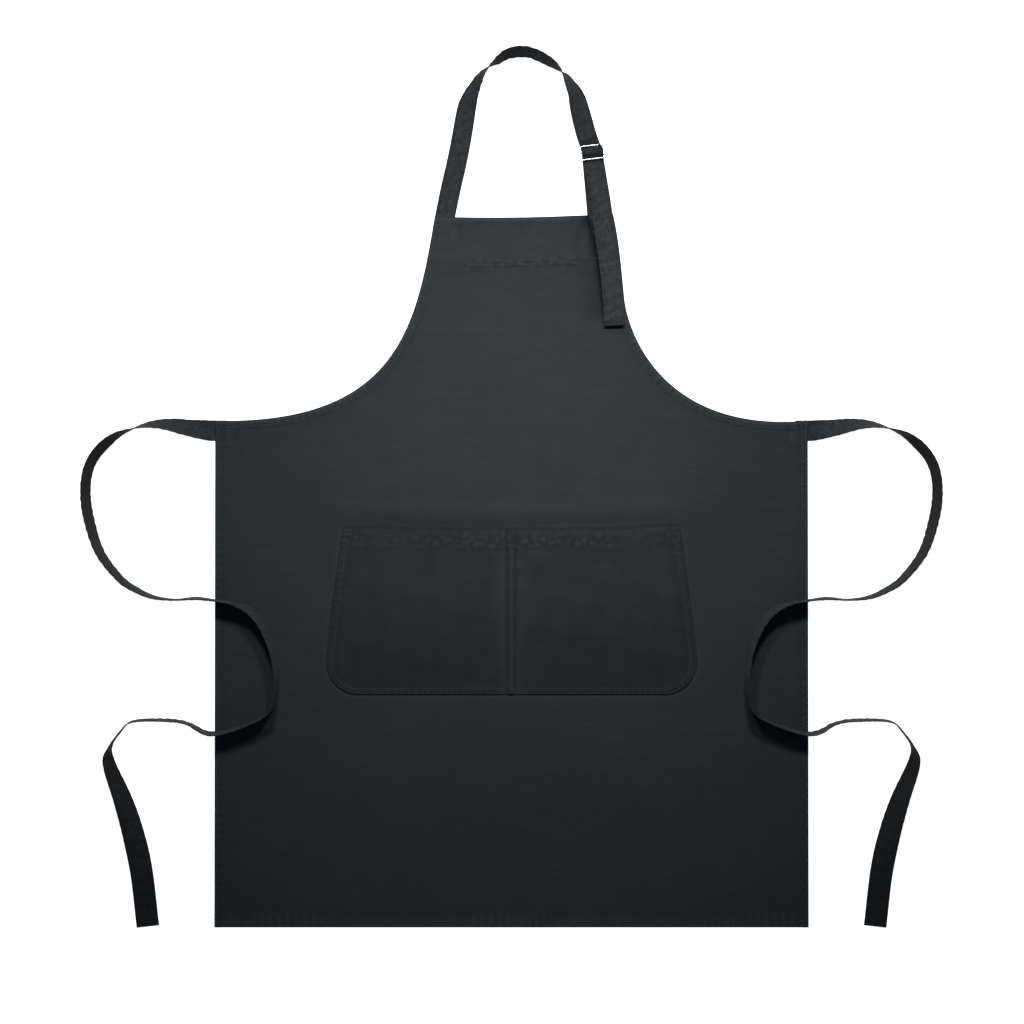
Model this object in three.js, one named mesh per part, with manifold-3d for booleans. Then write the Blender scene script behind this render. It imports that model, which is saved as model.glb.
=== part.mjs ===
// A bib apron laid flat on its back: a body cloth that folds at the waist, a divided patch pocket,
// a neck strap with a metal slider, and two waist ties that lie in loose loops on their edges.
// Millimetres, +Z up, +Y towards the neck. X = 0 is the middle of the skirt, Z = 0 the surface it lies on.

import * as THREE from 'three';
import { mergeVertices } from 'three/addons/utils/BufferGeometryUtils.js';
import Module from 'manifold-3d';

const wasm = await Module();
wasm.setup();

// ---------------------------------------------------------------- driving dimensions

const GAP = 0.3; // air between pieces that touch on the real apron
const PANEL = { hem: 1.5, cloth: 1.0 }; // a turned hem hangs below the single cloth
const PANEL_TOP = PANEL.hem + PANEL.cloth;

const SKIRT = { halfWidth: 352, hemY: -523.4, cornerY: 78.5, cornerRadius: 4 };
const BIB = { left: [-91, 321], right: [120.3, 324.6], sag: 2.6 };
const FOLD_Y = 104; // the waist line on which the bib folds down
const HEM_WIDTH = 8;
const FACING_DEPTH = 56; // the deep turned band along the top of the bib
const SEAM_INSET = { armhole: 6.5, side: 4.5, bottom: 10.5, facing: 55 };

const POCKET = {
  topHalf: 198.5, topY: -46, bottomHalf: 219.5, shoulderY: -172, cornerY: -209, bottomY: -246.8,
  cornerRadius: 38, wall: 4, front: 0.9, room: 4.4, hemDepth: 25, seamInset: 2.4,
};
const DIVIDER = { half: 6.2, topY: -78, bottomY: -244 };

const THREAD = { width: 0.6, height: 0.5 };
const THREAD_Z = PANEL_TOP + GAP;
const STRAP_STITCH = { width: 19, length: 16, line: 0.8 }; // the box of stitches over a strap's root
const TIE_STITCH = { width: 8, length: 20, line: 0.8 };

const STRAP = { width: 24, thickness: 1.2 };
const TIE = { width: 24.6, thickness: 1.2, rootY: 66.6, clear: 3.7 }; // clear: its edge over the apron
const ROOT_DEPTH = 15; // how far a tie or strap goes in behind a hem

const SLIDER = {
  width: 30, inner: 26, pitch: 8.25, bar: 2.0, radius: 3, z: 4.1, tilt: 10.5,
  place: [95.8, 397.2], heading: 6.5, lean: 0.34, // lean: how far the strap slants aside at the outer bars
};
const TAIL_Z = 4.4; // height of the middle of the strap where it lies over the bib

// ---------------------------------------------------------------- materials

const cloth = (colour) => new THREE.MeshStandardMaterial({ color: colour, roughness: 0.95, metalness: 0 });
const steel = new THREE.MeshStandardMaterial({ color: 0xd4d6d8, roughness: 0.25, metalness: 1 });
const CLOTH_COLOUR = 0x2b3033;
const STRAP_COLOUR = 0x272b2e;
const THREAD_COLOUR = 0x1e2123;

const apron = new THREE.Group();

function addPiece(name, geometry, material) {
  const mesh = new THREE.Mesh(geometry, material);
  mesh.name = name;
  apron.add(mesh);
}

// ---------------------------------------------------------------- solids, joins and cuts

function toSolid(geometry) {
  const bare = geometry.clone();
  bare.deleteAttribute('normal');
  bare.deleteAttribute('uv');
  const merged = mergeVertices(bare, 1e-4);
  return new wasm.Manifold(new wasm.Mesh({
    numProp: 3,
    vertProperties: new Float32Array(merged.attributes.position.array),
    triVerts: new Uint32Array(merged.index.array),
  }));
}

function toGeometry(solid) {
  const mesh = solid.getMesh();
  const geometry = new THREE.BufferGeometry();
  geometry.setAttribute('position', new THREE.BufferAttribute(new Float32Array(mesh.vertProperties), 3));
  geometry.setIndex(new THREE.BufferAttribute(new Uint32Array(mesh.triVerts), 1));
  geometry.computeVertexNormals();
  return geometry;
}

// A flat shape raised from z0 to z1.
function slab(shape, z0, z1, curveSegments = 12) {
  const geometry = new THREE.ExtrudeGeometry(shape, { depth: z1 - z0, bevelEnabled: false, curveSegments });
  return geometry.translate(0, 0, z0);
}

function block(x0, x1, y0, y1, z0, z1) {
  const geometry = new THREE.BoxGeometry(x1 - x0, y1 - y0, z1 - z0);
  return toSolid(geometry.translate((x0 + x1) / 2, (y0 + y1) / 2, (z0 + z1) / 2));
}

const toPoints = (pairs) => pairs.map(([x, y]) => new THREE.Vector2(x, y));

// The points of a line moved sideways by a distance; left of its direction is positive.
function offsetLine(points, distance, closed = false) {
  const count = points.length;
  return points.map((point, i) => {
    const before = points[closed ? (i + count - 1) % count : Math.max(i - 1, 0)];
    const after = points[closed ? (i + 1) % count : Math.min(i + 1, count - 1)];
    const along = new THREE.Vector2().subVectors(after, before).normalize();
    return new THREE.Vector2(point.x - along.y * distance, point.y + along.x * distance);
  });
}

// A flat band that follows a line, raised from z0 to z1: hems, threads.
function band(points, width, z0, z1) {
  const left = offsetLine(points, width / 2).reverse();
  const right = offsetLine(points, -width / 2);
  return slab(new THREE.Shape([...right, ...left]), z0, z1);
}

const thread = (points, z = THREAD_Z) => band(points, THREAD.width, z, z + THREAD.height);

// A cloth tape bent along a route. Each stop is [x, y, roll, base]: roll turns the tape about its own
// length (0 flat, 90 on edge) and base is the height of its lowest edge. across, where given, is the
// tape's fixed width direction, for a tape that doubles back on itself.
function tape(stops, { width, thickness, segments, across }) {
  const curve = (vectors) => new THREE.CatmullRomCurve3(vectors, false, 'catmullrom');
  const route = curve(stops.map(([x, y, , base = 0]) => new THREE.Vector3(x, y, base)));
  const rolls = curve(stops.map(([, , roll = 0]) => new THREE.Vector3(THREE.MathUtils.degToRad(roll), 0, 0)));
  const middle = (t) => {
    const turn = rolls.getPoint(t).x;
    const lift = (Math.abs(Math.sin(turn)) * width + Math.abs(Math.cos(turn)) * thickness) / 2;
    return route.getPoint(t).add(new THREE.Vector3(0, 0, lift));
  };
  const geometry = new THREE.BoxGeometry(1, width, thickness, segments, 2, 1);
  const position = geometry.attributes.position;
  const step = 0.1 / segments;
  for (let i = 0; i < position.count; i += 1) {
    const t = THREE.MathUtils.clamp(position.getX(i) + 0.5, 0, 1);
    const turn = rolls.getPoint(t).x;
    const ahead = middle(Math.min(t + step, 1)).sub(middle(Math.max(t - step, 0))).normalize();
    const level = new THREE.Vector3(-ahead.y, ahead.x, 0).normalize();
    const rise = new THREE.Vector3().crossVectors(ahead, level);
    const wide = across ?? level.multiplyScalar(Math.cos(turn)).addScaledVector(rise, Math.sin(turn));
    const thick = new THREE.Vector3().crossVectors(ahead, wide).normalize();
    const place = middle(t).addScaledVector(wide, position.getY(i)).addScaledVector(thick, position.getZ(i));
    position.setXYZ(i, place.x, place.y, Math.max(place.z, 0));
  }
  geometry.computeVertexNormals();
  return geometry;
}

// ---------------------------------------------------------------- outlines

// Each armhole is a smooth curve from the bib's corner down to the waist corner.
function leftArmhole() {
  return new THREE.CubicBezierCurve(
    new THREE.Vector2(...BIB.left), new THREE.Vector2(-113.1, 196),
    new THREE.Vector2(-130, 74.4), new THREE.Vector2(-SKIRT.halfWidth, SKIRT.cornerY));
}

function rightArmhole() {
  const waist = new THREE.Vector2(134.6, 219.7);
  const path = new THREE.CurvePath();
  path.add(new THREE.CubicBezierCurve(new THREE.Vector2(...BIB.right), new THREE.Vector2(129, 292),
    new THREE.Vector2(132.4, 235), waist));
  path.add(new THREE.CubicBezierCurve(waist, new THREE.Vector2(140.1, 180.7),
    new THREE.Vector2(181, 63.9), new THREE.Vector2(SKIRT.halfWidth, SKIRT.cornerY)));
  return path;
}

// The bib's top edge, from its right corner to its left, hanging a little between the straps.
function bibTop(drop = 0) {
  const middle = [(BIB.left[0] + BIB.right[0]) / 2, (BIB.left[1] + BIB.right[1]) / 2 - 2 * BIB.sag];
  const lower = ([x, y]) => new THREE.Vector2(x, y - drop);
  return new THREE.QuadraticBezierCurve(lower(BIB.right), lower(middle), lower(BIB.left));
}

// The whole body, anticlockwise from the hem's left corner; square hem corners where none are rounded.
function bodyOutline(rounded) {
  const { halfWidth, hemY, cornerRadius } = SKIRT;
  const corner = (side) => {
    const x = side * halfWidth;
    const soft = 0.3 * cornerRadius;
    const points = [[x - side * cornerRadius, hemY], [x - side * soft, hemY + soft], [x, hemY + cornerRadius]];
    return toPoints(rounded ? points : [[x, hemY]]);
  };
  return [
    ...corner(-1).reverse(), ...corner(1),
    ...rightArmhole().getSpacedPoints(36).reverse(),
    ...bibTop().getPoints(8).slice(1, -1),
    ...leftArmhole().getSpacedPoints(36),
  ];
}

function pocketOutline(inset = 0) {
  const { topHalf, topY, bottomHalf, shoulderY, cornerY, bottomY, cornerRadius } = POCKET;
  const side = bottomHalf - inset;
  const base = bottomY + inset;
  const top = topHalf - inset;
  const corner = cornerRadius - inset;
  const half = toPoints([[top, topY], [side - 2, shoulderY], [side, cornerY + 12]]);
  for (let i = 0; i <= 6; i += 1) {
    const turn = (i / 6) * (Math.PI / 2);
    const out = corner * Math.cos(turn);
    half.push(new THREE.Vector2(side - corner + out, base + corner - corner * Math.sin(turn)));
  }
  const mirrored = half.map((point) => new THREE.Vector2(-point.x, point.y)).reverse();
  return [...half, ...mirrored].reverse();
}

// ---------------------------------------------------------------- body cloth

// The whole cloth with a turned hem all round and the facing, hollowed below inside them.
function bodyCloth() {
  const whole = toSolid(slab(new THREE.Shape(bodyOutline(true)), 0, PANEL_TOP));
  const inner = offsetLine(bodyOutline(false), HEM_WIDTH, true);
  const inside = toSolid(slab(new THREE.Shape(inner), -1, PANEL.hem));
  const facing = block(-200, 200, BIB.left[1] - FACING_DEPTH, BIB.right[1] + 20, -2, PANEL.hem + 1);
  return whole.subtract(inside.subtract(facing));
}

// The places in the hems where the ties and straps go in behind the cloth.
function rootNotches() {
  const tieHalf = TIE.width / 2 + GAP;
  const strapHalf = STRAP.width / 2 + GAP;
  const inset = SKIRT.halfWidth - ROOT_DEPTH - GAP;
  const notches = [-1, 1].map((side) => block(
    Math.min(side * inset, side * (SKIRT.halfWidth + 5)), Math.max(side * inset, side * (SKIRT.halfWidth + 5)),
    TIE.rootY - tieHalf, TIE.rootY + tieHalf, -1, PANEL.hem));
  const strap = new THREE.BoxGeometry(2 * strapHalf, 54, 2 * PANEL.hem);
  const left = strap.clone().rotateZ(THREE.MathUtils.degToRad(-10.3)).translate(-79.6, 318, 0);
  const [rootX, rootY] = bySlider(75, 0);
  const right = strap.clone().rotateZ(THREE.MathUtils.degToRad(SLIDER.heading)).translate(rootX, rootY, 0);
  return [...notches, toSolid(left), toSolid(right)];
}

function addBodyPanels() {
  const body = rootNotches().reduce((rest, notch) => rest.subtract(notch), bodyCloth());
  const reach = 600;
  const above = block(-reach, reach, FOLD_Y + GAP / 2, reach, -5, 10);
  const below = block(-reach, reach, -reach, FOLD_Y - GAP / 2, -5, 10);
  addPiece('bib_panel', toGeometry(body.intersect(above)), cloth(CLOTH_COLOUR));
  addPiece('skirt_panel', toGeometry(body.intersect(below)), cloth(CLOTH_COLOUR));
}

// ---------------------------------------------------------------- pocket

// A shallow cloth shell, open along its top, with a rib down its middle where it is sewn to the skirt.
function addPocket() {
  const { wall, front, room, topY, bottomY } = POCKET;
  const bottom = PANEL_TOP + GAP;
  const roof = bottom + room;
  const shell = toSolid(slab(new THREE.Shape(pocketOutline()), bottom, roof + front));
  const inside = toSolid(slab(new THREE.Shape(pocketOutline(wall)), bottom - 1, roof));
  const mouth = block(-POCKET.topHalf + wall, POCKET.topHalf - wall, topY - 20, topY + 5, bottom - 1, roof);
  const ribHalf = DIVIDER.half + 1;
  const rib = block(-ribHalf, ribHalf, bottomY + wall / 2, topY - POCKET.hemDepth, bottom, roof + front / 2);
  const pocket = shell.subtract(inside.add(mouth)).add(rib);
  addPiece('pocket_panel', toGeometry(pocket), cloth(CLOTH_COLOUR));
}

// ---------------------------------------------------------------- seams

function along(curve, inset, count, from = 0, to = 1) {
  const points = [];
  for (let i = 0; i <= count; i += 1) {
    points.push(curve.getPointAt(from + ((to - from) * i) / count));
  }
  return offsetLine(points, inset);
}

function addBodySeams() {
  const sewn = cloth(THREAD_COLOUR);
  addPiece('left_armhole_seam', thread(along(leftArmhole(), SEAM_INSET.armhole, 40, 0.065, 0.93)), sewn);
  addPiece('right_armhole_seam', thread(along(rightArmhole(), -SEAM_INSET.armhole, 40, 0.065, 0.93)), sewn);
  const sideX = SKIRT.halfWidth - SEAM_INSET.side;
  const bottomY = SKIRT.hemY + SEAM_INSET.bottom;
  for (const [name, side] of [['left_side_seam', -1], ['right_side_seam', 1]]) {
    addPiece(name, thread(toPoints([[side * sideX, bottomY + 2], [side * sideX, SKIRT.cornerY - 28]])), sewn);
  }
  const hemHalf = SKIRT.halfWidth - 9;
  addPiece('bottom_hem_seam', thread(toPoints([[-hemHalf, bottomY], [hemHalf, bottomY]])), sewn);
  const facing = bibTop(SEAM_INSET.facing).getPoints(12);
  facing[0].x -= 5;
  facing[facing.length - 1].x += 1.5;
  addPiece('facing_seam', thread(facing), sewn);
}

function addPocketSeams() {
  const z = PANEL_TOP + GAP + POCKET.room + POCKET.front + GAP;
  const sewn = cloth(THREAD_COLOUR);
  addPiece('pocket_outline_seam', thread(pocketOutline(POCKET.seamInset), z), sewn);
  const mouthY = POCKET.topY - POCKET.hemDepth + 2;
  const reach = POCKET.topHalf - 6;
  addPiece('pocket_mouth_seam', thread(toPoints([[-reach, mouthY], [reach, mouthY]]), z), sewn);
  const hairpin = [new THREE.Vector2(-DIVIDER.half, DIVIDER.bottomY + 6)];
  for (let i = 0; i <= 12; i += 1) {
    const turn = Math.PI * (1 - i / 12);
    const [x, y] = [DIVIDER.half * Math.cos(turn), DIVIDER.half * Math.sin(turn)];
    hairpin.push(new THREE.Vector2(x, DIVIDER.topY + y));
  }
  hairpin.push(new THREE.Vector2(DIVIDER.half, DIVIDER.bottomY + 6));
  addPiece('pocket_divider_seam', thread(hairpin, z), sewn);
  for (const [name, side] of [['left_pocket_bartack', -1], ['right_pocket_bartack', 1]]) {
    const tack = new THREE.BoxGeometry(2.4, 10, THREAD.height);
    tack.translate(side * (POCKET.topHalf - 5.2), POCKET.topY - 6.5, z + THREAD.height / 2);
    addPiece(name, tack, sewn);
  }
}

// A box of stitches that holds a root down: a flat ring of thread.
function boxStitch(x, y, turn, { width, length, line }) {
  const frame = (w, h) => toPoints([[-w, -h], [w, -h], [w, h], [-w, h]]);
  const shape = new THREE.Shape(frame(width / 2, length / 2));
  shape.holes.push(new THREE.Path(frame(width / 2 - line, length / 2 - line)));
  const ring = slab(shape, THREAD_Z, THREAD_Z + THREAD.height);
  return ring.rotateZ(THREE.MathUtils.degToRad(turn)).translate(x, y, 0);
}

function addRootStitches() {
  const sewn = cloth(THREAD_COLOUR);
  for (const [name, side] of [['left_tie_bartack', -1], ['right_tie_bartack', 1]]) {
    addPiece(name, boxStitch(side * (SKIRT.halfWidth - 7.5), TIE.rootY - 2.6, 0, TIE_STITCH), sewn);
  }
  addPiece('left_strap_bartack', boxStitch(-81, 307.5, -10.3, STRAP_STITCH), sewn);
  addPiece('right_strap_bartack', boxStitch(103.5, 311.5, SLIDER.heading, STRAP_STITCH), sewn);
}

// ---------------------------------------------------------------- slider

// A flat metal frame with three bars; the middle bar is the one the short strap is folded round.
function addSlider() {
  const { width, inner, pitch, bar, radius, z, tilt, place, heading } = SLIDER;
  const half = [width / 2, pitch + bar / 2];
  const frame = new THREE.Shape();
  frame.moveTo(half[0] - radius, -half[1]);
  frame.absarc(half[0] - radius, -half[1] + radius, radius, -Math.PI / 2, 0);
  frame.absarc(half[0] - radius, half[1] - radius, radius, 0, Math.PI / 2);
  frame.absarc(-half[0] + radius, half[1] - radius, radius, Math.PI / 2, Math.PI);
  frame.absarc(-half[0] + radius, -half[1] + radius, radius, Math.PI, 1.5 * Math.PI);
  for (const side of [-1, 1]) {
    const near = (side * bar) / 2;
    const far = side * (pitch - bar / 2);
    const slot = [[-inner / 2, near], [inner / 2, near], [inner / 2, far], [-inner / 2, far]];
    frame.holes.push(new THREE.Path(toPoints(slot)));
  }
  const geometry = slab(frame, -bar / 2, bar / 2, 5);
  geometry.rotateX(THREE.MathUtils.degToRad(-tilt));
  geometry.rotateZ(THREE.MathUtils.degToRad(heading));
  geometry.translate(place[0], place[1], z);
  addPiece('slider', toGeometry(toSolid(geometry)), steel);
}

// ---------------------------------------------------------------- neck strap

// A stop near the slider: s runs along the strap towards the tail, z is the height of the tape's middle
// and aside how far it lies to the right.
function bySlider(s, z, aside = 0) {
  const turn = THREE.MathUtils.degToRad(SLIDER.heading);
  const [x, y] = SLIDER.place;
  const along = [x + s * Math.sin(turn), y - s * Math.cos(turn)];
  return [along[0] + aside * Math.cos(turn), along[1] + aside * Math.sin(turn), 0, z - STRAP.thickness / 2];
}

// From the left corner of the bib round the neck: [x, y, roll]. Past 90 the tape leans outwards.
const NECK_ROUTE = [
  [-82.3, 303, 0], [-78.9, 321, 0], [-76.2, 335, 0], [-71.2, 358.5, 0], [-65.4, 383.7, -4],
  [-60.3, 409.2, -8], [-56.7, 430, -11], [-53.1, 449.9, -20], [-48, 465.1, -39], [-42.8, 475.8, -53],
  [-37, 486.7, -65], [-28, 497, -82], [-16, 505.4, -105], [-6.9, 511.7, -111], [2.3, 514.6, -115],
  [11.9, 515.5, -116], [22.1, 514.3, -114], [33.1, 510, -114], [44, 504, -110], [55.9, 495.7, -96],
  [64.3, 486.4, -69], [70.5, 475.3, -52], [76.3, 464.6, -35], [80.5, 449.8, -18], [84.7, 433.9, -8],
  [88.2, 421, -4],
];

// Behind the upper bar, over the middle bar and the short strap, behind the lower bar: [s, z].
const THROUGH_SLIDER = [
  [-16, 0.7], [-11.5, 0.6], [-8.25, 0.6], [-6.5, 0.9], [-5, 2.9], [-3.6, 5.9], [-1.9, 7.5], [0, 8.0],
  [1.9, 7.6], [3.6, 6.2], [5.1, 4.6], [6.7, 3.7], [8.4, 3.6], [12, 3.65], [16, 4.1], [20, TAIL_Z],
];

// From the slider down over the bib: [x, y]. The free end takes over at the last place of the first list.
const UPPER_TAIL = [[100, 365], [103.2, 344], [106.6, 326], [109.2, 311]];
const FREE_TAIL = [[109.3, 310.6], [112.2, 292], [116, 266], [118.8, 241], [120.6, 220], [122, 191]];

function addNeckStrap() {
  const lay = { width: STRAP.width, thickness: STRAP.thickness };
  const over = ([x, y]) => [x, y, 0, TAIL_Z - STRAP.thickness / 2];
  const slant = (s) => SLIDER.lean * THREE.MathUtils.clamp(s / SLIDER.pitch, -1.5, 1);
  const through = THROUGH_SLIDER.map(([s, z]) => bySlider(s, z, slant(s)));
  const loop = [...NECK_ROUTE, ...through, ...UPPER_TAIL.map(over)];
  addPiece('neck_strap', tape(loop, { ...lay, segments: 120 }), cloth(STRAP_COLOUR));
  addPiece('strap_tail', tape(FREE_TAIL.map(over), { ...lay, segments: 12 }), cloth(STRAP_COLOUR));
  const end = toPoints([[112.5, 196.5], [130.7, 198]]);
  addPiece('tail_end_seam', thread(end, TAIL_Z + STRAP.thickness / 2 + GAP), cloth(THREAD_COLOUR));
}

// The short strap comes out behind the bib's right corner, goes round the middle bar and back onto itself,
// where one row of stitches holds it.
function addSliderLoop() {
  const radius = 2.25;
  const round = [];
  for (let i = 1; i <= 7; i += 1) {
    const turn = Math.PI * (1.5 - (i / 8) * 1.25);
    round.push([radius * Math.cos(turn), SLIDER.z + radius * Math.sin(turn)]);
  }
  const profile = [
    [95, 0.6], [60, 0.6], [20, 0.6], [10, 0.65], [5.5, 1.0], [2.4, 1.65], [0, 1.85], ...round,
    [3.2, 4.2], [4.5, 3.0], [6.2, 2.25], [9, 2.1], [15, 2.1], [22, 2.1], [30, 2.1],
  ];
  const turn = THREE.MathUtils.degToRad(SLIDER.heading);
  const across = new THREE.Vector3(-Math.cos(turn), -Math.sin(turn), 0);
  const lay = { width: STRAP.width - 0.8, thickness: STRAP.thickness, across };
  const route = profile.map(([s, z]) => bySlider(s, z));
  addPiece('slider_loop', tape(route, { ...lay, segments: 72 }), cloth(STRAP_COLOUR));
  const [x, y] = bySlider(25, 0);
  const reach = new THREE.Vector2(across.x, across.y).multiplyScalar(STRAP.width / 2 - 2);
  const row = [new THREE.Vector2(x, y).sub(reach), new THREE.Vector2(x, y).add(reach)];
  addPiece('slider_loop_seam', thread(row, 2.1 + STRAP.thickness / 2 + GAP), cloth(THREAD_COLOUR));
}

// ---------------------------------------------------------------- waist ties

// The left tie from the apron's edge: [x, y, roll, base]. It loops out, comes back over the apron's front,
// leaves again and ends level with the hem. The right tie is its mirror image.
const TIE_ROUTE = [
  [-352.3, 66.6, 0, 0], [-357.5, 66.6, 2, 0], [-364, 67.3, 14, 0], [-379, 69, 32, 0], [-394, 71.6, 43, 0],
  [-409, 73.8, 56, 0], [-423.7, 74, 67, 0], [-438, 72, 78, 0], [-452.6, 67.6, 91, 0], [-467.3, 61.5, 103, 0],
  [-482, 50.2, 113, 0], [-494.5, 35.8, 113, 0], [-502.2, 18.6, 112, 0], [-505, -5, 112, 0],
  [-501.6, -34.8, 113, 0], [-488.3, -76.6, 109.5, 0], [-463.7, -108.9, 105, 0], [-443.8, -122.5, 102, 0],
  [-423.6, -131, 97, 0], [-398.5, -133.9, 92, 0], [-374, -132.3, 96, 0], [-347.6, -135.4, 92, TIE.clear],
  [-329, -138.6, 97, TIE.clear], [-309.6, -147.6, 107, TIE.clear], [-295, -166, 106, TIE.clear],
  [-284, -194, 102, TIE.clear], [-278.8, -225, 100, TIE.clear], [-281, -253, 97, TIE.clear],
  [-293, -273.5, 91, TIE.clear], [-352, -292.8, 82, TIE.clear], [-384, -280.6, 87, 0],
  [-408.5, -276.8, 86, 0], [-449, -278.1, 88, 0], [-463.9, -290.9, 90, 0], [-475.6, -308.3, 94, 0],
  [-477.5, -327, 119, 0], [-460.9, -371.8, 141, 0], [-448.8, -412.3, 156, 0], [-439.6, -458, 178, 0],
  [-432.1, -522.5, 180, 0],
];

function addTies() {
  const lay = { width: TIE.width, thickness: TIE.thickness, segments: 120 };
  for (const [name, side] of [['left_tie', 1], ['right_tie', -1]]) {
    const root = new THREE.BoxGeometry(ROOT_DEPTH - GAP, TIE.width, TIE.thickness);
    root.translate(side * (-SKIRT.halfWidth + ROOT_DEPTH / 2), TIE.rootY, TIE.thickness / 2);
    addPiece(`${name}_root`, root, cloth(STRAP_COLOUR));
    const route = TIE_ROUTE.map(([x, y, roll, base]) => [side * x, y, side * roll, base]);
    addPiece(name, tape(route, lay), cloth(STRAP_COLOUR));
    const end = toPoints([[-side * 433 - 10, -516.5 + side], [-side * 433 + 10, -516.5 - side]]);
    addPiece(`${name}_end_seam`, thread(end, TIE.thickness + GAP), cloth(THREAD_COLOUR));
  }
}

addBodyPanels();
addPocket();
addBodySeams();
addPocketSeams();
addRootStitches();
addSlider();
addNeckStrap();
addSliderLoop();
addTies();

export default apron;
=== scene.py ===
"""A bib apron laid flat on a pale floor: the looks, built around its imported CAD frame.

Metres, in the frame's own axes: +Y from the hem to the neck, +Z up out of the apron's front.
"""
import math

import bpy
import numpy as np
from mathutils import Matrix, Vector
from mathutils.geometry import delaunay_2d_cdt


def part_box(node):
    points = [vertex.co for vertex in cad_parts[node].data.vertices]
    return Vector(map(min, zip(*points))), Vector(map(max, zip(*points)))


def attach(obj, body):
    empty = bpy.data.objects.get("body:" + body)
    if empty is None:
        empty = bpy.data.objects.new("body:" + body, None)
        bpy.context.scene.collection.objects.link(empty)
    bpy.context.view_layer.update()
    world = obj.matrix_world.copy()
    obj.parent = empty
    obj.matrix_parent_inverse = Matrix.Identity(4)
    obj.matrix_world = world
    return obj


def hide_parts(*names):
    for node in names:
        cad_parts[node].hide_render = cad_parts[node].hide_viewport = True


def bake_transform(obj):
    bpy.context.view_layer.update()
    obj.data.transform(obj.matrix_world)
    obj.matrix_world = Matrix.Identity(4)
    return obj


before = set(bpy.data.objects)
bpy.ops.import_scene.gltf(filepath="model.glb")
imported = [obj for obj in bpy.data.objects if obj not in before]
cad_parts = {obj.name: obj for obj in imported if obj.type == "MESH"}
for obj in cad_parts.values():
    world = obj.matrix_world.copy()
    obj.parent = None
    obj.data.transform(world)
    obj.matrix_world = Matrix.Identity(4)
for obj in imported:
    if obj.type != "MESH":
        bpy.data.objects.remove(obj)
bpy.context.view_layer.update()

MM = 0.001

# ---------------------------------------------------------------- camera, floor and lights

PICTURE_WIDTH = 1.217  # what the camera sees across, at the floor
PICTURE_CENTRE = (0.0006, -0.030)
LENS = 110.0
SENSOR = 36.0


def new_object(name, data):
    """An object with its data, linked to the scene."""
    made = bpy.data.objects.new(name, data)
    bpy.context.scene.collection.objects.link(made)
    return made


def fill(node, values):
    """Sets the inputs of a node by their names."""
    for name, value in values.items():
        node.inputs[name].default_value = value


def add_camera():
    data = bpy.data.cameras.new("camera")
    data.lens = LENS
    data.sensor_width = SENSOR
    camera = new_object("camera", data)
    camera.location = (*PICTURE_CENTRE, PICTURE_WIDTH * LENS / SENSOR)
    bpy.context.scene.camera = camera


def area_light(name, place, aim, size, power, spread):
    data = bpy.data.lights.new(name, "AREA")
    data.shape = "RECTANGLE"
    data.size, data.size_y = size
    data.energy = power
    data.spread = spread
    light = new_object(name, data)
    light.location = place
    light.rotation_euler = (Vector(aim) - Vector(place)).to_track_quat("-Z", "Y").to_euler()


def add_lights():
    for side, name, power in ((-1, "softbox_left", 1.66), (1, "softbox_right", 1.93)):
        place, aim = (side * 0.37, 1.1, 1.4), (side * 0.15, 0.11, 0)
        area_light(name, place, aim, (0.25, 0.25), power, math.radians(48))
    world = bpy.data.worlds.new("studio")
    world.use_nodes = True
    fill(world.node_tree.nodes["Background"], {"Color": (0.7, 1.0, 1.3, 1.0), "Strength": 0.10})
    bpy.context.scene.world = world
    bpy.context.scene.view_settings.view_transform = "Standard"


def add_floor():
    reach = 6.0
    mesh = bpy.data.meshes.new("floor")
    corners = [(-reach, -reach, 0), (reach, -reach, 0), (reach, reach, 0), (-reach, reach, 0)]
    mesh.from_pydata(corners, [], [(0, 1, 2, 3)])
    floor = new_object("floor", mesh)
    floor.location.z = -0.2 * MM
    material = bpy.data.materials.new("floor_white")
    material.use_nodes = True
    fill(material.node_tree.nodes["Principled BSDF"], {
        "Base Color": (0.86, 0.86, 0.86, 1), "Roughness": 0.9, "Specular IOR Level": 0.1,
        "Emission Color": (1, 1, 1, 1), "Emission Strength": 1.0})
    mesh.materials.append(material)
    floor.visible_diffuse = False


add_camera()
add_lights()
add_floor()

# ---------------------------------------------------------------- materials


def noise(tree, coordinates, scale, detail=2.0):
    node = tree.nodes.new("ShaderNodeTexNoise")
    fill(node, {"Scale": scale, "Detail": detail})
    tree.links.new(coordinates, node.inputs["Vector"])
    return node.outputs["Fac"]


def mapped(tree, value, low, high, source=(0, 1)):
    node = tree.nodes.new("ShaderNodeMapRange")
    fill(node, {"From Min": source[0], "From Max": source[1], "To Min": low, "To Max": high})
    tree.links.new(value, node.inputs["Value"])
    return node.outputs["Result"]


def combined(tree, a, b, operation):
    node = tree.nodes.new("ShaderNodeMath")
    node.operation = operation
    tree.links.new(a, node.inputs[0])
    tree.links.new(b, node.inputs[1])
    return node.outputs["Value"]


DEEPEST_PAINTED_SHADE = -2.4  # the lowest value of the painted light and shade, where painted shade makes the cloth darkest
PAINTED_SHADE_GAIN = 0.5  # the share of its tone that cloth gains as painted light, or loses as painted shade, with each 1 of that value


def new_material(name):
    """A node material, with its tree, its shader and the object's own coordinates."""
    material = bpy.data.materials.new(name)
    material.use_nodes = True
    tree = material.node_tree
    place = tree.nodes.new("ShaderNodeTexCoord").outputs["Object"]
    return material, tree, tree.nodes["Principled BSDF"], place


def tinted(tree, shader, colour, tone):
    """Gives the shader a colour that a tone makes lighter and darker."""
    tint = tree.nodes.new("ShaderNodeVectorMath")
    tint.operation = "SCALE"
    tint.inputs[0].default_value = colour
    tree.links.new(tone, tint.inputs["Scale"])
    tree.links.new(tint.outputs["Vector"], shader.inputs["Base Color"])


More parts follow.
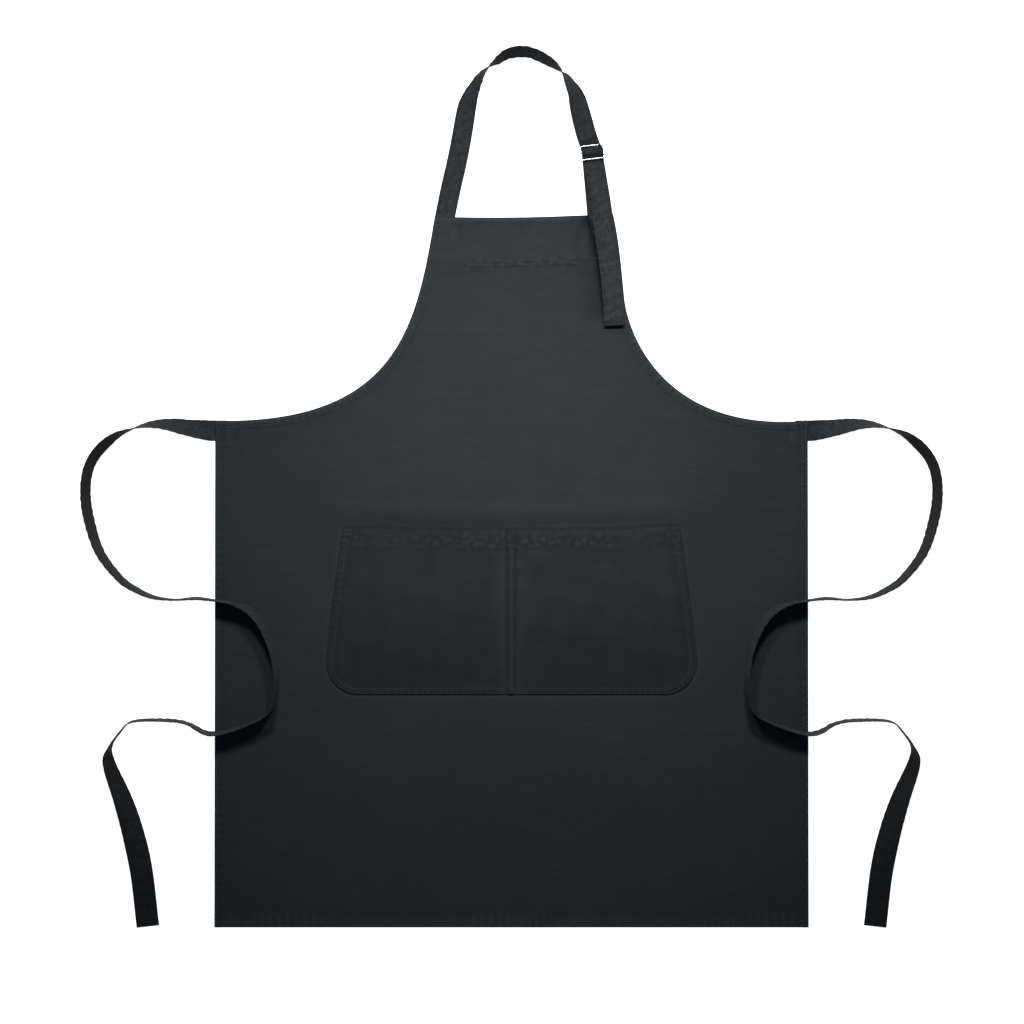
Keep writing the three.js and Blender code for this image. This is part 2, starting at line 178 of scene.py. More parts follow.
def bumped(tree, shader, height, strength, distance):
    """Roughens the shader's surface with a height; distance is in millimetres."""
    bump = tree.nodes.new("ShaderNodeBump")
    fill(bump, {"Strength": strength, "Distance": distance * MM})
    tree.links.new(height, bump.inputs["Height"])
    tree.links.new(bump.outputs["Normal"], shader.inputs["Normal"])


def twill_cloth(name, colour, turn=0.0, grain=0.26, grain_scale=620.0):
    """Cotton twill: diagonal ribs crossed by the weft, slubs and streaks, with painted light and shade from a
    mesh attribute: paler where it stands up, darker in hollows and where shade is painted.
    """
    material, tree, shader, place = new_material(name)

    def turned(angle, stretch=1):
        node = tree.nodes.new("ShaderNodeMapping")
        fill(node, {"Rotation": (0, 0, math.radians(angle + turn)), "Scale": (1, stretch, 1)})
        tree.links.new(place, node.inputs["Vector"])
        return node.outputs["Vector"]

    def wave(scale, angle):
        node = tree.nodes.new("ShaderNodeTexWave")
        fill(node, {"Scale": scale, "Distortion": 1.2, "Detail Scale": 3.0})
        tree.links.new(turned(angle), node.inputs["Vector"])
        return node.outputs["Fac"]

    def streaks(scale, stretch, angle):
        return noise(tree, turned(angle, stretch), scale)

    ribs = wave(330, 63)
    weft = wave(520, 0)
    weave = combined(tree, ribs, mapped(tree, weft, 0.6, 1.0), "MULTIPLY")
    slubs = streaks(40, 18, 0)
    bars = streaks(12, 14, 0)
    warp = streaks(60, 14, 90)
    mottle = noise(tree, place, 9, 3)
    grains = noise(tree, place, grain_scale, 2)
    painted_shading = tree.nodes.new("ShaderNodeAttribute")
    painted_shading.attribute_name = "painted_shading"
    tone = mapped(tree, weave, 0.84, 1.10)
    parts = ((slubs, 0.14), (bars, 0.12), (warp, 0.06), (mottle, 0.10), (grains, grain))
    for value, share in parts:
        tone = combined(tree, tone, mapped(tree, value, 1 - share, 1 + share), "MULTIPLY")
    # Painted light and shade: the mesh attribute scales the cloth's tone, lighter above 0 and darker below
    # it.
    most = -DEEPEST_PAINTED_SHADE * PAINTED_SHADE_GAIN
    painted_light_and_shade = mapped(tree, painted_shading.outputs["Fac"], 1 - most, 1 + most, (DEEPEST_PAINTED_SHADE, -DEEPEST_PAINTED_SHADE))
    tone = combined(tree, tone, painted_light_and_shade, "MULTIPLY")
    tinted(tree, shader, colour, tone)
    tree.links.new(mapped(tree, weave, 0.98, 0.86), shader.inputs["Roughness"])
    bumped(tree, shader, combined(tree, weave, mapped(tree, slubs, 0, 0.5), "ADD"), 0.35, 0.12)
    fill(shader, {"Specular IOR Level": 0.22, "Sheen Weight": 0.03, "Sheen Roughness": 0.6})
    return material


def sewing_thread(name, colour):
    """Twisted polyester thread: two plies that catch the light in turn."""
    material, tree, shader, place = new_material(name)
    plies = noise(tree, place, 2600, 1)
    tinted(tree, shader, colour, mapped(tree, plies, 0.7, 1.35))
    tree.links.new(mapped(tree, plies, 0.75, 0.55), shader.inputs["Roughness"])
    bumped(tree, shader, plies, 0.5, 0.05)
    fill(shader, {"Specular IOR Level": 0.3})
    return material


def plated_steel():
    """Bright plated wire with a few dull spots."""
    material, tree, shader, place = new_material("plated_steel")
    spots = noise(tree, place, 900, 3)
    tinted(tree, shader, (0.96, 0.96, 0.97), mapped(tree, spots, 0.9, 1.05))
    tree.links.new(mapped(tree, spots, 0.30, 0.46), shader.inputs["Roughness"])
    fill(shader, {"Metallic": 1.0})
    bumped(tree, shader, spots, 0.12, 0.03)
    return material


BODY_CLOTH = twill_cloth("body_twill", (0.0230, 0.0268, 0.0295))
POCKET_CLOTH = twill_cloth("pocket_twill", (0.0182, 0.0214, 0.0238))
TAPE_CLOTH = twill_cloth("tape_twill", (0.0205, 0.0232, 0.0256), turn=8, grain=0.75, grain_scale=240)
DARK_THREAD = sewing_thread("dark_thread", (0.009, 0.0103, 0.012))
MATCHING_THREAD = sewing_thread("matching_thread", (0.019, 0.0222, 0.0244))
STEEL = plated_steel()

# ---------------------------------------------------------------- meshes


def add_piece(name, points, faces, material, painted_shading=None):
    """A mesh of its own. Its attribute values are painted light and shade for the material: painted light
    above 0 and painted shade below it.
    """
    mesh = bpy.data.meshes.new(name)
    mesh.from_pydata([tuple(p) for p in points], [], faces)
    if painted_shading is not None:
        layer = mesh.attributes.new("painted_shading", "FLOAT", "POINT")
        layer.data.foreach_set("value", np.asarray(painted_shading, np.float32))
    mesh.materials.append(material)
    mesh.shade_smooth()
    piece = new_object(name, mesh)
    return piece


def run_along(points):
    """How far along a line each of its points is."""
    return np.concatenate([[0], np.cumsum(np.linalg.norm(np.diff(points, axis=0), axis=1))])


def headings(points):
    """The direction of a line at each of its points, as vectors of length 1."""
    ahead = np.gradient(points, axis=0)
    return ahead / np.linalg.norm(ahead, axis=1)[:, None]


def resample(points, step):
    """The same line with its points evenly spaced, about step apart."""
    points = np.asarray(points, float)
    along = run_along(points)
    count = max(2, int(round(along[-1] / step)) + 1)
    at = np.linspace(0, along[-1], count)
    return np.stack([np.interp(at, along, points[:, i]) for i in range(points.shape[1])], axis=1)


def length_of(points):
    return float(run_along(points)[-1])


def smooth(x):
    """An eased step from 0 to 1."""
    x = np.clip(x, 0, 1)
    return x * x * (3 - 2 * x)


def hump(x, wide):
    """A smooth rise to 1 where x is 0, falling away on both sides."""
    return np.exp(-((x / wide) ** 2))


def wobble(x, y, pitch, seed):
    """A smooth uneven ripple from -1 to 1, the same on every run."""
    a, b, c = 0.7 + 1.9 * seed, 2.1 + 1.3 * seed, 4.2 + 0.9 * seed
    k = 2 * math.pi / pitch
    return (np.sin(k * (0.80 * x + 0.60 * y) + a) + np.sin(k * (0.97 * x - 0.71 * y) + b)
            + np.sin(k * (0.31 * x + 1.27 * y) + c) + np.sin(k * (1.41 * x + 0.13 * y) + a + c)) / 4


# ---------------------------------------------------------------- outlines, in millimetres

skirt_low, skirt_high = (np.array(corner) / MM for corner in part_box("skirt_panel"))
HALF_WIDTH = float(skirt_high[0])
HEM_Y = float(skirt_low[1])
WAIST_Y = 78.5
FLARE = 1.0  # how much further out each side is at the hem
BIB_LEFT = (-91.0, 321.0)
BIB_RIGHT = (120.3, 324.6)
BIB_SAG = 2.6
SPACING = 3.0  # between the points of an edge
EDGE_CLEAR = 0.45  # how close to an edge the next points of a sheet may be
CROWDED = 0.8  # the size of square in which a sheet's rows of points keep only one point
RELIEF_ROUNDS = 7  # how often a sheet's heights are averaged to find the ground that it stands above


def bezier(*control, count=200):
    t = np.linspace(0, 1, count)[:, None]
    rows = [np.array(p, float) for p in control]
    while len(rows) > 1:
        rows = [a * (1 - t) + b * t for a, b in zip(rows, rows[1:])]
    return rows[0]


def line(*points):
    return np.array(points, float)


CORNER_LEFT, CORNER_RIGHT = (-HALF_WIDTH, WAIST_Y), (HALF_WIDTH, WAIST_Y)
LEFT_ARMHOLE = bezier(BIB_LEFT, (-113.1, 196), (-130, 74.4), CORNER_LEFT)
RIGHT_ARMHOLE = np.concatenate([
    bezier(BIB_RIGHT, (129, 292), (132.4, 235), (134.6, 219.7)),
    bezier((134.6, 219.7), (140.1, 180.7), (181, 63.9), CORNER_RIGHT)[1:]])
TOP_MIDDLE = ((BIB_LEFT[0] + BIB_RIGHT[0]) / 2, (BIB_LEFT[1] + BIB_RIGHT[1]) / 2 - 2 * BIB_SAG)
BIB_TOP = bezier(BIB_RIGHT, TOP_MIDDLE, BIB_LEFT)
HEM = line((-HALF_WIDTH - FLARE, HEM_Y), (HALF_WIDTH + FLARE, HEM_Y))
LEFT_SIDE = line(CORNER_LEFT, HEM[0])
RIGHT_SIDE = line(HEM[1], CORNER_RIGHT)

# Each edge of the body: its line, anticlockwise, how far in its stitches run, and how deep its hem is.
BODY_EDGES = [
    (HEM, 10.5, 12.0), (RIGHT_SIDE, 4.5, 6.5), (RIGHT_ARMHOLE[::-1], 6.5, 8.5),
    (BIB_TOP, 55.0, 57.0), (LEFT_ARMHOLE, 6.5, 8.5), (LEFT_SIDE, 4.5, 6.5),
]


def distance_to(points, path):
    """Distance from each point to a line, and how far along the line the nearest place is."""
    path = resample(path, SPACING)
    best = np.full(len(points), 1e9)
    where = np.zeros(len(points))
    run = 0.0
    for a, b in zip(path, path[1:]):
        d = b - a
        size = float(np.hypot(*d))
        t = np.clip(((points - a) @ d) / size**2, 0, 1)
        gap = np.hypot(*(points - a - t[:, None] * d).T)
        nearer = gap < best
        best[nearer] = gap[nearer]
        where[nearer] = run + t[nearer] * size
        run += size
    return best, where


# ---------------------------------------------------------------- the pocket's outline

POCKET_TOP_HALF = 198.5
POCKET_HALF = 219.5
POCKET_SHOULDER_Y = -172.0
POCKET_CORNER_Y = -209.0
POCKET_BOTTOM_Y = -246.8
POCKET_RADIUS = 38.0
POCKET_HEM = 22.0
DIVIDER_HALF = 6.2
DIVIDER_TOP_Y = -78.0


def mouth_y(x):
    """The pocket's top edge: level in the middle and pulled up to its two corners."""
    lift = np.where(x < 0, 2.9, 4.8)
    return -51.0 + lift * smooth((np.abs(x) - 95) / 100)


def pocket_outline():
    """The mouth from its right corner to its left one, then the sewn edge on round to the right corner."""
    mouth_x = np.linspace(POCKET_TOP_HALF, -POCKET_TOP_HALF, 60)
    mouth = np.column_stack([mouth_x, mouth_y(mouth_x)])
    turn = np.linspace(0, math.pi / 2, 16)
    cx, cy = POCKET_HALF - POCKET_RADIUS, POCKET_BOTTOM_Y + POCKET_RADIUS
    corner = np.column_stack([cx + POCKET_RADIUS * np.cos(turn), cy - POCKET_RADIUS * np.sin(turn)])
    side = bezier((POCKET_TOP_HALF, mouth[0, 1]), (POCKET_HALF - 12, -110),
                  (POCKET_HALF - 3, POCKET_SHOULDER_Y), (POCKET_HALF, POCKET_CORNER_Y + 0.2), count=40)
    right = np.vstack([side[:-1], corner])
    left = right[::-1] * [-1, 1]
    sewn = np.vstack([right, left])[::-1]
    sewn[0, 1] = mouth[-1, 1]
    sewn[-1, 1] = mouth[0, 1]
    return mouth, sewn


POCKET_MOUTH, POCKET_SEWN = pocket_outline()
POCKET_RIM = resample(np.vstack([POCKET_MOUTH, POCKET_SEWN]), SPACING)

# ---------------------------------------------------------------- the body's surface

CLOTH = 0.7  # thickness of one layer
REST = 2.0  # height of the single cloth's front
ROOT_RISE = 0.35  # how far the body stands up over the root of a strap or a tie
HEM_RISE = 0.9  # how far a turned hem stands above the single cloth
FACING_FROM = 20.0  # only the bib's facing is sewn further in than this


def stitch_line(gap, inset):
    """The shallow groove that a row of stitches pulls."""
    return -0.5 * hump(gap - inset, 0.9)


def turned_in(gap, depth):
    """1 where an edge's cloth is turned under to a depth, easing to 0 past it."""
    return 1 - smooth((gap - depth + 1.2) / 2.4)


def edge_profile(gap, inset, depth, where, seed):
    """Height that a turned hem adds at a distance in from its edge."""
    layers = turned_in(gap, depth)
    fold = 1.3 * np.clip(1 - gap / 1.8, 0, 1) ** 2
    reach = hump(gap - inset * 0.9, 0.60 * min(depth, 12))
    pucker = 0.30 * np.sin(2 * math.pi * where / 9.5 + 2.2 * np.sin(where / 31 + seed)) * reach
    pucker *= 0.5 + 0.5 * np.sin(where / 47 + 2 * seed)
    seam = 0.8 * stitch_line(gap, inset)
    if inset > FACING_FROM:
        aside = smooth((np.abs(where - 105) - 50) / 30)
        soft = 1 - smooth((gap - depth + 12) / 24)
        top_roll = 0.5 * hump(gap - 3.4, 1.6) * (1 + 0.5 * np.sin(where / 4.1))
        step = HEM_RISE * (layers * (1 - aside) + soft * aside)
        return step - fold + (seam + facing_puckers(gap - inset, where)) * (1 - 0.9 * aside) + top_roll
    return HEM_RISE * layers - fold + 1.5 * seam + pucker


def facing_puckers(gap, where):
    """Small bumps on both sides of the facing's seam, drawn up by its stitches."""
    reach = hump(gap, 6.5)
    return (0.75 * wobble(where, 1.3 * gap, 17, 3) + 0.4 * wobble(where, gap, 9, 4)) * reach


def body_height(points):
    """Height of the body's front surface at each point, in millimetres."""
    x, y = points[:, 0], points[:, 1]
    rise = REST + 0.22 * wobble(x, y, 150, 1) + 0.10 * wobble(x, y, 52, 2)
    best = np.full(len(points), -9.0)
    for seed, (edge, inset, depth) in enumerate(BODY_EDGES):
        gap, where = distance_to(points, edge)
        near = gap < depth + 14
        here = np.zeros(len(points))
        here[near] = edge_profile(gap[near], inset, depth, where[near], seed)
        outer = gap < 1.3
        best = np.where(outer & (best > -8), np.minimum(best, here), np.maximum(best, here))
    return np.maximum(rise + best + pocket_dip(x, y) + seat(points) + bib_folds(points), 0.75)


def seat(points):
    """The body is pressed down in a narrow groove all round the pocket and swells a little beyond it."""
    gap, _ = distance_to(points, POCKET_RIM)
    outside = ~inside_outline(points, POCKET_RIM[:-1])
    groove = -0.4 * hump(gap - 0.9, 1.3) + 0.16 * hump(gap - 3.8, 1.8)
    return np.where(outside & (gap < 14), groove, 0)


# Folds in the bib: the line each runs along and fades towards, its height and its width.
BIB_FOLDS = [
    (line((89, 322), (96, 290), (101, 262), (105, 225)), -1.25, 5.5),
    (line((91, 320), (98, 290), (103.5, 262), (107.5, 225)), -0.8, 2.2),
    (line((86, 318), (74, 285), (70, 262)), -0.45, 5.0), (line((-68, 318), (-58, 292)), -0.40, 4.0),
    (line((12, 318), (13, 300)), -0.35, 2.4), (line((20, 318), (22, 298)), -0.35, 2.4),
    (line((5, 318), (3, 303)), 0.30, 2.4),
]


def bib_folds(points):
    """Soft folds in the bib beside the strap that lies on it, and smaller ones from both strap roots."""
    total = np.zeros(len(points))
    for path, depth, wide in BIB_FOLDS:
        gap, where = distance_to(points, path)
        painted_shade = 1 - 0.85 * smooth(where / length_of(path))
        total += depth * painted_shade * hump(gap, wide)
    return total


def painted_strap_shadow(points):
    """Painted shadow on the bib beside the strap that lies on it, darkest close to its edge."""
    x, y = points[:, 0], points[:, 1]
    beside = np.interp(y, (216, 240, 264, 288, 306, 322), (109.5, 107.1, 104.7, 100.5, 97.5, 92)) - x
    shade = 0.75 * hump(beside, 24) + 1.1 * hump(beside - 1, 2.4)
    return -shade * (beside > -3) * smooth((y - 190) / 20)


def pocket_dip(x, y):
    """The body swells above the pocket's mouth and falls away to it."""
    above = y - mouth_y(x)
    swell = smooth(above / 30) * (1 - smooth((above - 22) / 100))
    return 2.6 * swell * (1 - smooth((np.abs(x) - 150) / 90))


TIE_ROOT_Y = 66.6
# Where a strap or a tie goes in behind the hem: its middle, and half its width and height.
ROOTS = [
    ((-79.6, 314), (15, 20)), ((104.5, 314), (15, 20)),
    ((4 - HALF_WIDTH, TIE_ROOT_Y), (16, 15)), ((HALF_WIDTH - 4, TIE_ROOT_Y), (16, 15)),
]


def root_cover(points):
    """1 over the roots of the straps and ties, and 0 away from them."""
    cover = np.zeros(len(points))
    for (cx, cy), (wide, tall) in ROOTS:
        out = np.maximum(np.abs(points[:, 0] - cx) - wide, np.abs(points[:, 1] - cy) - tall)
        cover = np.maximum(cover, 1 - smooth(out / 4))
    return cover


def cell_of(point, size):
    """The square of a grid that a point falls in."""
    return int(point[0] // size), int(point[1] // size)


def fill_outline(outline, rings, step):
    """Triangles over a closed outline: its own points, rows of points along it, and an even grid inside."""
    boundary = [tuple(p) for p in outline]
    low, high = outline.min(0), outline.max(0)
    closed = np.vstack([outline, outline[:1]])
    ring_points = np.vstack(rings)
    gap, _ = distance_to(ring_points, closed)
    taken = set()
    kept = []
    for p in ring_points[inside_outline(ring_points, outline) & (gap > EDGE_CLEAR)]:
        if cell_of(p, CROWDED) not in taken:
            taken.add(cell_of(p, CROWDED))
            kept.append((p[0], p[1]))
    xs = np.arange(low[0], high[0], step)
    ys = np.arange(low[1], high[1], step * 0.866)
    grid = np.array([(x + (step / 2 if j % 2 else 0), y) for j, y in enumerate(ys) for x in xs])
    gap, _ = distance_to(grid, closed)
    free = inside_outline(grid, outline) & (gap > step * 0.6)
    cells = {cell_of(p, step / 2) for p in kept}
    free &= np.array([cell_of(p, step / 2) not in cells for p in grid])
    kept.extend((p[0], p[1]) for p in grid[free])
    count = len(boundary)
    edges = [(i, (i + 1) % count) for i in range(count)]
    corners = [Vector(p) for p in boundary + kept]
    verts, _, faces, _, _, _ = delaunay_2d_cdt(corners, edges, [list(range(count))], 1, 1e-4)
    return np.array([tuple(v) for v in verts]), [tuple(f) for f in faces]


def inside_outline(points, outline):
    """Whether each point is inside a closed outline, by counting crossings."""
    inside = np.zeros(len(points), bool)
    x, y = points[:, 0], points[:, 1]
    for a, b in zip(outline, np.roll(outline, -1, axis=0)):
        crosses = (a[1] > y) != (b[1] > y)
        if a[1] != b[1]:
            at = a[0] + (y - a[1]) * (b[0] - a[0]) / (b[1] - a[1])
            inside ^= crosses & (x < at)
    return inside


def offset_path(path, distance):
    """A line moved to its left."""
    path = np.asarray(path, float)
    d = headings(path)
    return path + distance * np.stack([-d[:, 1], d[:, 0]], axis=1)


def local_relief(triangles, height):
    """How far each point of a sheet stands above the sheet just round it."""
    corners = np.array(triangles)
    a, b = corners.ravel(), np.roll(corners, -1, axis=1).ravel()
    count = np.bincount(a, minlength=len(height)) + np.bincount(b, minlength=len(height))
    ground = height.copy()
    for _ in range(RELIEF_ROUNDS):
        around = np.bincount(a, ground[b], len(height)) + np.bincount(b, ground[a], len(height))
        ground = 0.4 * ground + 0.6 * around / np.maximum(count, 1)
    return height - ground


def closed_sheet(name, flat, triangles, top, bottom, material, painted_shade):
    """A thin closed solid from a triangulated plan and the heights of its two faces, in millimetres.

    fade is painted shade laid onto the cloth's painted light and shade: below 0 it darkens the cloth, above 0
    it would lighten it.
    """
    count = len(flat)
    upper = np.column_stack([flat, top]) * MM
    lower = np.column_stack([flat, bottom]) * MM
    sides = {}
    for a, b, c in triangles:
        for edge in ((a, b), (b, c), (c, a)):
            sides[edge] = sides.get(edge, 0) + 1
    rim = [(a, b) for (a, b) in sides if (b, a) not in sides]
    faces = list(triangles)
    faces += [(c + count, b + count, a + count) for a, b, c in triangles]
    faces += [(b, a, a + count, b + count) for a, b in rim]
    # Painted light and shade: paler where the cloth stands above the cloth round it, darker in its hollows
    # and creases, plus the painted shade given.
    painted_shading = np.concatenate([np.clip(1.6 * local_relief(triangles, top), -0.6, 0.7) + painted_shade, np.zeros(count)])
    return add_piece(name, np.vstack([upper, lower]), faces, material, painted_shading)


def make_body():
    rings = []
    for edge, inset, depth in BODY_EDGES:
        path = resample(edge, SPACING)
        offsets = [0.6, 1.3, 2.4, 4.2] + [inset + d for d in (-1.8, -0.8, 0, 0.8, 1.8)]
        offsets += [depth + d for d in (-1.0, 0.2, 1.4, 3.4)]
        for distance in sorted(o for o in set(offsets) if o > 0.5):
            rings.append(offset_path(path, distance))
    rim = resample(POCKET_RIM, SPACING)
    rings += [offset_path(rim, -distance) for distance in (-1.5, 0.2, 1.2, 2.4, 4.0, 6.0, 8.5)]
    outline = np.vstack([resample(edge, SPACING)[:-1] for edge, _, _ in BODY_EDGES])
    flat, triangles = fill_outline(outline, rings, 4.2)
    top = body_height(flat)
    cover = root_cover(flat)
    layers = np.zeros(len(flat))
    for edge, _, depth in BODY_EDGES:
        gap, _ = distance_to(flat, edge)
        layers = np.maximum(layers, turned_in(gap, depth))
    bottom = top - CLOTH - 0.55 * layers * (1 - cover)
    top = top + ROOT_RISE * cover
    bottom = np.maximum(bottom, 0.05) + ROOT_RISE * cover
    bottom = np.minimum(bottom, top - 0.25)
    # Painted shade: the skirt is painted darker low down in its middle, and the bib beside the strap tail.
    painted_low_shade = np.exp(-((flat[:, 0] / 110) ** 2) - ((flat[:, 1] + 365) / 62) ** 2)
    painted_shade = painted_strap_shadow(flat) - 0.16 * painted_low_shade
    body = closed_sheet("body_cloth", flat, triangles, top, bottom, BODY_CLOTH, painted_shade)
    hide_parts("bib_panel", "skirt_panel")
    return body


# ---------------------------------------------------------------- the pocket's surface

def pocket_lift(points):
    """How far the pocket's front stands off the skirt."""
    x, y = points[:, 0], points[:, 1]
    side, where = distance_to(points, POCKET_SEWN)
    down = mouth_y(x) - y
    span = POCKET_HALF - 2.4 - DIVIDER_HALF
    across = np.clip((np.abs(x) - DIVIDER_HALF) / span, 0, 1)
    width = np.sin(math.pi * across) ** 0.45
    drop = mouth_y(x) - POCKET_BOTTOM_Y
    high = np.clip(1 - down / drop, 0, 1)
    bag = 7.0 * np.sin(math.pi * high**1.15 * 0.86) ** 0.9
    puff = width * bag * (1 + 0.10 * wobble(x, y, 90, 4))
    puff += 0.30 * wobble(x, y, 46, 5) * smooth(side / 20)
    hem = 0.16 * (1 - smooth((down - POCKET_HEM + 2.5) / 5))
    roll = 0.9 * np.clip(1 - down / 2.2, 0, 1) ** 2
    edge_roll = 0.5 * np.clip(1 - side / 1.5, 0, 1) ** 2
    sewn_edge = 0.9 + 0.4 * (1 - smooth((side - 7) / 2.4)) + 1.5 * stitch_line(side, 2.6)
    ripple = np.sin(2 * math.pi * where / 7.5 + 2 * np.sin(where / 27))
    sewn_edge += 0.42 * ripple * hump(side - 3, 4) * (0.6 + 0.4 * np.sin(where / 41))
    beside = np.abs(x)
    low = smooth((DIVIDER_TOP_Y + DIVIDER_HALF - y) / 5)
    ridge = (1.6 * hump(beside, 1.9) + 3.4 * stitch_line(beside, DIVIDER_HALF)) * low
    free_mouth = 1.2 * (1 - smooth(down / 40)) * smooth(side / 26)
    return sewn_edge + puff + hem + mouth_puckers(x, down) - roll - edge_roll + ridge + free_mouth


def mouth_puckers(x, down):
    """Creases across the pocket's top hem, drawn up by its stitches and strongest in the middle."""
    band = hump(down - 0.62 * POCKET_HEM, 0.46 * POCKET_HEM)
    sway = x + 4 * np.sin(x / 19) + 2.5 * np.sin(x / 7.3 + 1)
    creases = 2.0 * (np.abs(wobble(sway, 1.3 * down, 25, 6) + 0.3 * wobble(x, down, 13, 7)) - 0.35)
    small = 0.55 * wobble(x, 1.5 * down, 9.5, 8)
    middle = 1 - 0.65 * smooth((np.abs(x) - 85) / 50) + 0.35 * smooth((np.abs(x) - 160) / 15)
    return (0.85 * creases + 0.45 * small) * band * middle


def make_pocket():
    mouth_line = resample(POCKET_MOUTH, SPACING)
    sewn_line = resample(POCKET_SEWN, SPACING)
    outline = np.vstack([mouth_line[:-1], sewn_line[:-1]])
    rings = []
    for distance in (0.6, 1.5, 2.4, 3.3, 4.6, 6.2, 8.0, 10.0):
        rings.append(offset_path(sewn_line, distance))
    for distance in (0.7, 1.4, 3.0, 5.0, 7.0, 9.0, 11.0, 13.0, 15.0, 17.0, 19.0, 20.0, 21.0, 22.0, 23.5):
        rings.append(offset_path(mouth_line, distance))
    for at in (-9, -7.4, -6.2, -5.0, -3.4, -1.6, 0, 1.6, 3.4, 5.0, 6.2, 7.4, 9):
        rings.append(resample([(at, POCKET_BOTTOM_Y + 1), (at, mouth_y(0) - 1)], SPACING))
    flat, triangles = fill_outline(outline, rings, 4.0)
    under = body_height(flat)
    top = under + pocket_lift(flat)
    down = mouth_y(flat[:, 0]) - flat[:, 1]
    thick = 0.6 + 0.5 * turned_in(down, POCKET_HEM)
    bottom = np.maximum(top - thick, under + 0.12)
    bottom = np.minimum(bottom, top - 0.2)
    # Painted shade: the pocket is painted darker across its lower half and in a dark line along its mouth.
    painted_shade = -0.26 * hump(flat[:, 1] + 205, 45) - 0.8 * hump(down, 1.6)
    pocket = closed_sheet("pocket_cloth", flat, triangles, top, bottom, POCKET_CLOTH, painted_shade)
    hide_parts("pocket_panel")
    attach(pocket, "skirt")
    return pocket


# ---------------------------------------------------------------- stitches

STITCH_LENGTH, STITCH_GAP, STITCH_RADIUS = 2.5, 0.9, 0.31


def stitch_row(name, path, up, nodes, clear=0.12, radius=STITCH_RADIUS, thread=DARK_THREAD):
    """Separate stitches along a line of points in metres, each one dipping into the cloth at its ends."""
    path = np.asarray(path, float)
    up = np.asarray(up, float)
    along = run_along(path)
    pitch = STITCH_LENGTH + STITCH_GAP
    share = STITCH_LENGTH / pitch
    count = max(1, int(along[-1] // (pitch * MM)))
    pitch = along[-1] / count
    stops = np.array([0, 0.12, 0.35, 0.65, 0.88, 1.0])
    rise = np.array([-0.9, 0.35, 1.0, 1.0, 0.35, -0.9])
    thick = np.array([0.35, 0.9, 1.0, 1.0, 0.9, 0.35])
    sides = 6
    ring = np.linspace(0, 2 * math.pi, sides, endpoint=False)
    points, faces = [], []
    for i in range(count):
        at = pitch * (i + (1 - share) / 2 + share * stops)
        centre = np.stack([np.interp(at, along, path[:, k]) for k in range(3)], axis=1)
        normal = np.stack([np.interp(at, along, up[:, k]) for k in range(3)], axis=1)
        normal /= np.linalg.norm(normal, axis=1)[:, None]
        side = np.cross(headings(centre), normal)
        centre = centre + normal * (rise * clear * MM)[:, None]
        start = len(points)
        for c, n, s, r in zip(centre, normal, side, thick * radius * MM):
            points.extend(c + r * (math.cos(a) * s * 1.15 + math.sin(a) * n * 0.85) for a in ring)
        last = len(stops) - 1
        for j in range(last):
            for k in range(sides):
                a, b = start + j * sides + k, start + j * sides + (k + 1) % sides
                faces.append((a, a + sides, b + sides, b))
        faces.append(tuple(start + k for k in range(sides)))
        faces.append(tuple(start + last * sides + k for k in reversed(range(sides))))
    piece = add_piece(name, points, faces, thread)
    if nodes:
        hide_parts(*nodes)
    return piece


def on_surface(path, height):
    """A plan line in millimetres laid on a surface, with the surface's normals, both in metres."""
    path = resample(path, 0.8)
    z = height(path)
    slope_x = (height(path + [0.5, 0]) - height(path - [0.5, 0]))
    slope_y = (height(path + [0, 0.5]) - height(path - [0, 0.5]))
    up = np.column_stack([-slope_x, -slope_y, np.ones(len(path))])
    return np.column_stack([path, z]) * MM, up


def part_of(path, start, end):
    """The stretch of a line between two shares of its length."""
    fine = resample(path, 0.5)
    count = len(fine) - 1
    return fine[int(round(start * count)):int(round(end * count)) + 1]


def add_body_stitches():
    """Rows of stitches round the body; each armhole's row crosses the waist fold in one run."""
    for name, edge, inset in (("left_armhole", LEFT_ARMHOLE, 6.5), ("right_armhole", RIGHT_ARMHOLE, -6.5)):
        path = part_of(offset_path(resample(edge, 1), inset), 0.012, 0.985)
        row = stitch_row(f"{name}_stitches", *on_surface(path, body_height), [f"{name}_seam"],
                         thread=MATCHING_THREAD)
        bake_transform(row)
    side_x = HALF_WIDTH - 4.5
    hem_y = HEM_Y + 10.5
    runs = [
        ("left_side_stitches", line((-side_x, hem_y + 1), (-side_x, WAIST_Y - 1)), "left_side_seam"),
        ("right_side_stitches", line((side_x, hem_y + 1), (side_x, WAIST_Y - 1)), "right_side_seam"),
        ("hem_stitches", line((-HALF_WIDTH + 2, hem_y), (HALF_WIDTH - 2, hem_y)), "bottom_hem_seam"),
    ]
    for name, path, node in runs:
        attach(stitch_row(name, *on_surface(path, body_height), [node]), "skirt")
    facing = resample(offset_path(resample(BIB_TOP, 1), 52.0), 0.5)
    facing = np.vstack([facing[0] + [2.0, 0], facing, facing[-1] - [6.0, 0]])
    row = stitch_row("facing_stitches", *on_surface(facing, body_height), ["facing_seam"],
                     thread=MATCHING_THREAD)
    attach(row, "bib")


